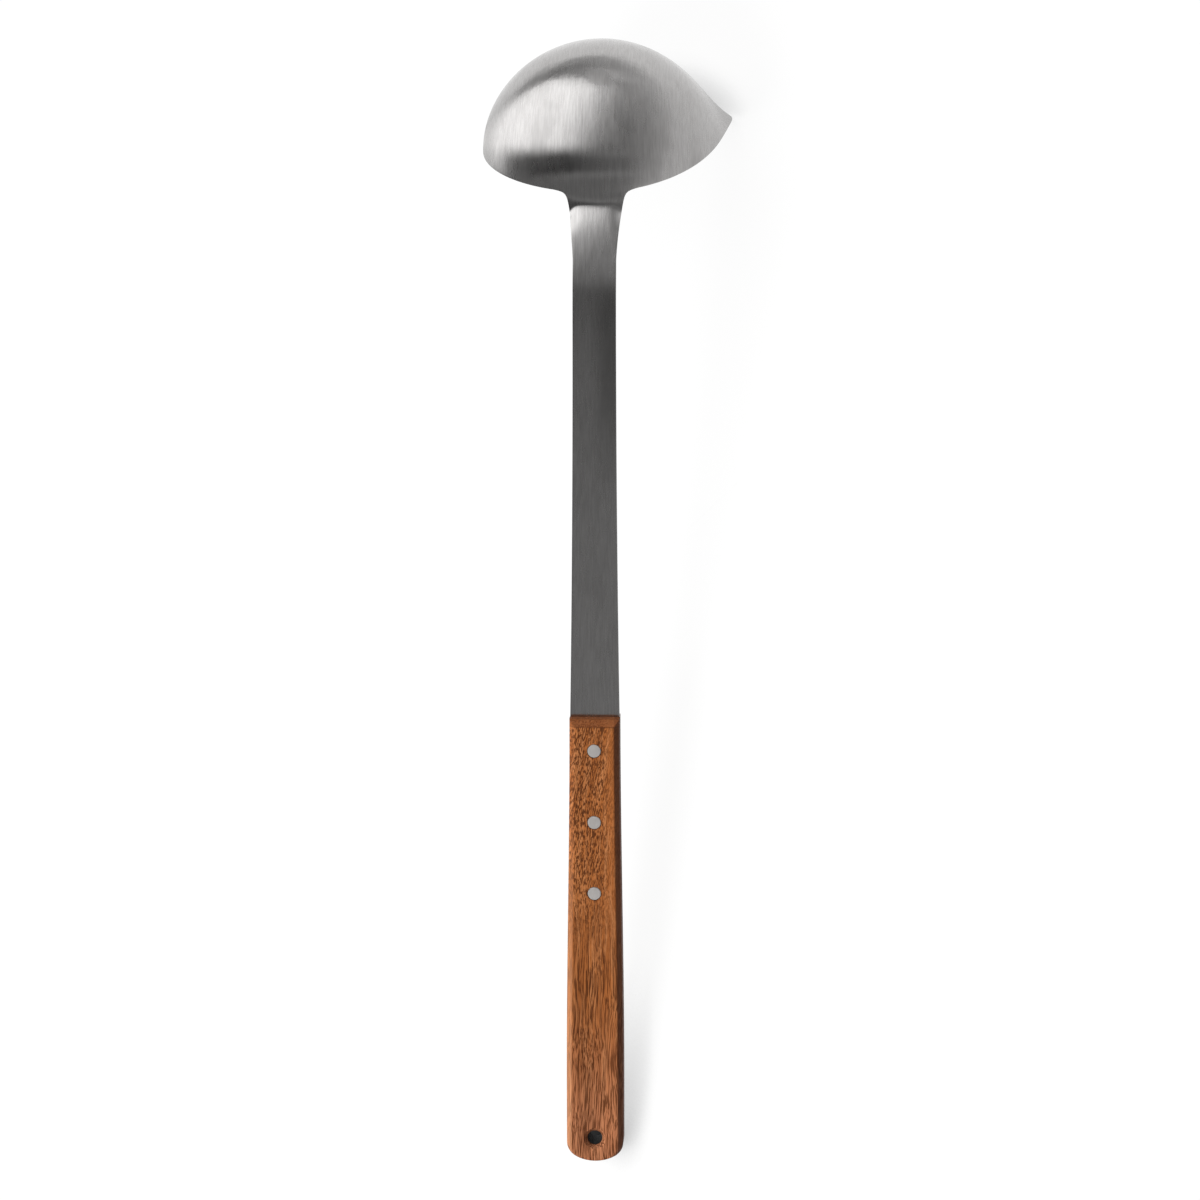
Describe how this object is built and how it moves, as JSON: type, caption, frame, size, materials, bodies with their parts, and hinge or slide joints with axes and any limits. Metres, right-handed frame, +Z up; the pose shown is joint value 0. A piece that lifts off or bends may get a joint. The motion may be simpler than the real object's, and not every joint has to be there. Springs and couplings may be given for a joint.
{
  "type": "soup ladle",
  "caption": "Soup ladle with a deep bowl and side pouring lip, pressed in one with a flat shank, and a riveted wooden handle with a hanging hole.",
  "frame": {"origin": "on the floor, under the middle of the ladle's box, as it comes to rest with its back up, rolled to the lip's side, on its rim and its butt", "axes": "+Z up, +Y along the ladle from the butt to the bowl, +X to the side of the pouring lip"},
  "size_m": [0.0836, 0.3996, 0.0784],
  "materials": {
    "satin_steel": "satin, with grain along the shank",
    "handle_wood": "oiled red-brown hardwood with dark pores",
    "pin_steel": "sanded flush with the wood"
  },
  "bodies": {
    "root": {"bowl_and_shank": "satin_steel", "wooden_handle": "handle_wood", "rivet_upper": "pin_steel", "rivet_middle": "pin_steel", "rivet_lower": "pin_steel"}
  },
  "joints": []
}
